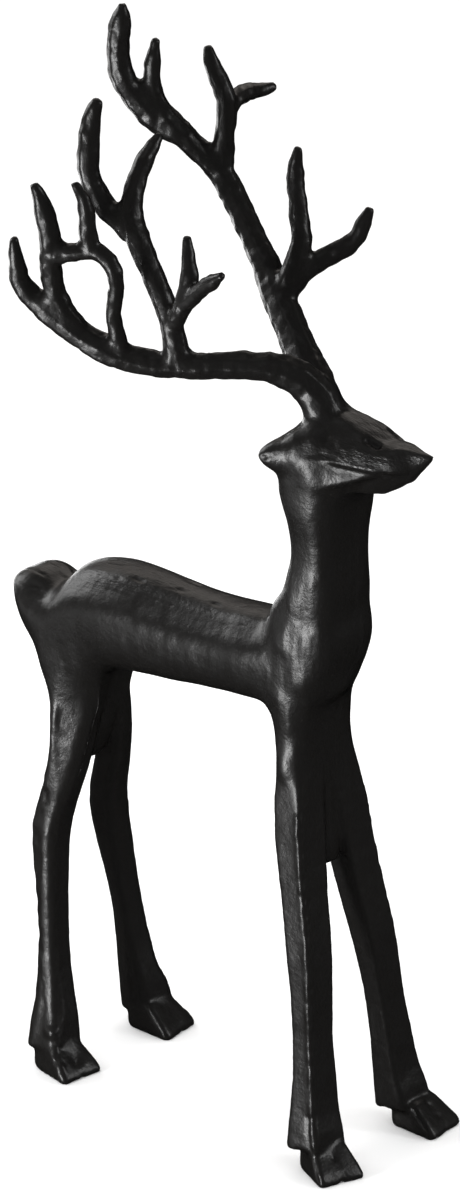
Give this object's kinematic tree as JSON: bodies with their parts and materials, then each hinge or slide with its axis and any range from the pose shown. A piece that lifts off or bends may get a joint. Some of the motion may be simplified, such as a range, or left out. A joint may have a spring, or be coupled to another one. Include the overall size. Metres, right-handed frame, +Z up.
{
  "type": "stag statue",
  "caption": "Standing stag with branching antlers, cast in one piece of black-painted iron, for a table, hearth or garden step.",
  "frame": {"origin": "on the ground under the middle of the whole casting", "axes": "+X ahead of the stag, +Y its left side, +Z up"},
  "size_m": [0.2866, 0.1764, 0.5933],
  "materials": {
    "black_iron": "satin black paint over sand-cast iron"
  },
  "bodies": {
    "root": {"stag": "black_iron"}
  },
  "joints": []
}
